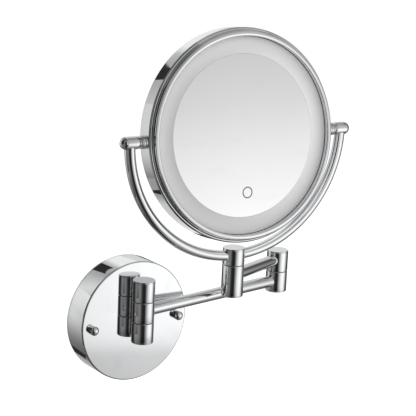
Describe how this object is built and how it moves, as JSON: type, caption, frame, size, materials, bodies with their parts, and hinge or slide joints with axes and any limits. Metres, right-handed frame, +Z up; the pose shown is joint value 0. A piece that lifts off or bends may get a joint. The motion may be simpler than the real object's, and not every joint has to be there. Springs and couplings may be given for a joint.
{
  "type": "extendable shaving mirror",
  "caption": "Wall-mounted shaving mirror: a round base, a folding arm with vertical hinge columns, a U-shaped yoke and a tilting double-sided head with a lit band.",
  "frame": {"origin": "centre of the wall bracket's back face, on the wall", "axes": "+Z up, +Y into the wall, -Y out into the room"},
  "size_m": [0.2923, 0.0757, 0.344],
  "materials": {
    "chrome": "polished chrome plate over brass",
    "zinc_steel": "zinc-plated steel",
    "nylon": "dark moulded nylon",
    "black_rubber": "matt black rubber",
    "mirror_glass": "silvered float glass",
    "frosted_glass": "etched glass light band",
    "white_moulding": "white moulded light channel",
    "ivory_moulding": "ivory moulded nylon",
    "driver_case": "white moulded driver case",
    "circuit_board": "white solder mask",
    "lamp": "phosphor lens of a surface-mount lamp"
  },
  "bodies": {
    "base": {"wall_bracket": "zinc_steel", "bracket_studs": "zinc_steel", "base_cover": "chrome", "cap_nuts": "chrome", "wall_gasket": "black_rubber", "hinge_mount_plate": "zinc_steel", "hinge_posts": "zinc_steel", "post_nuts": "zinc_steel", "led_driver": "driver_case", "terminal_block": "ivory_moulding", "cable_grommet": "black_rubber", "cable_clamp": "ivory_moulding", "base_screws": "zinc_steel", "hinge_end_knuckles": "chrome", "wall_hinge_pin": "zinc_steel", "wall_hinge_nuts": "zinc_steel", "wall_hinge_washers": "nylon", "wall_hinge_caps": "chrome"},
    "inner_arm": {"hinge_middle_knuckle": "chrome", "wall_hinge_bush": "nylon", "inner_arm_tube": "chrome", "elbow_lower_knuckle": "chrome", "elbow_lower_cap": "chrome", "elbow_washer": "nylon", "elbow_spring_washer": "zinc_steel", "elbow_pin": "zinc_steel", "elbow_nuts": "zinc_steel"},
    "outer_arm": {"elbow_upper_knuckle": "chrome", "elbow_bush": "nylon", "elbow_upper_cap": "chrome", "outer_arm_tube": "chrome", "swivel_lower_knuckle": "chrome", "swivel_lower_cap": "chrome", "swivel_washer": "nylon", "swivel_spring_washer": "zinc_steel", "swivel_pin": "zinc_steel", "swivel_nuts": "zinc_steel"},
    "yoke": {"swivel_upper_knuckle": "chrome", "swivel_bush": "nylon", "swivel_upper_cap": "chrome", "yoke_tube_left": "chrome", "yoke_tube_right": "chrome", "pivot_knobs": "chrome", "pivot_screws": "zinc_steel", "pivot_friction_rings": "nylon"},
    "head": {"pivot_collars": "chrome", "drum_shell": "chrome", "front_bezel": "chrome", "back_bezel": "chrome", "front_seal": "black_rubber", "front_mirror": "mirror_glass", "diffuser_ring": "frosted_glass", "back_mirror": "mirror_glass", "back_seal": "black_rubber", "light_box": "white_moulding", "led_board": "circuit_board", "leds": "lamp", "carrier_plate": "zinc_steel", "touch_board": "circuit_board", "pivot_bosses": "zinc_steel"}
  },
  "joints": [
    {"name": "wall_hinge", "type": "hinge", "parent": "base", "child": "inner_arm", "pos_m": [0, -0.0417, 0.0143], "axis": [0, 0, 1], "range_deg": [-193, 0]},
    {"name": "elbow_hinge", "type": "hinge", "parent": "inner_arm", "child": "outer_arm", "pos_m": [0.18083, -0.0211, 0.0253], "axis": [0, 0, 1], "range_deg": [0, 335]},
    {"name": "yoke_swivel", "type": "hinge", "parent": "outer_arm", "child": "yoke", "pos_m": [0.10176, -0.04825, 0.0495], "axis": [0, 0, 1], "range_deg": [-170, 170]},
    {"name": "head_tilt", "type": "hinge", "parent": "yoke", "child": "head", "pos_m": [0.10176, -0.04825, 0.1794], "axis": [0.9964, -0.0849, 0], "range_deg": [-180, 180]}
  ]
}
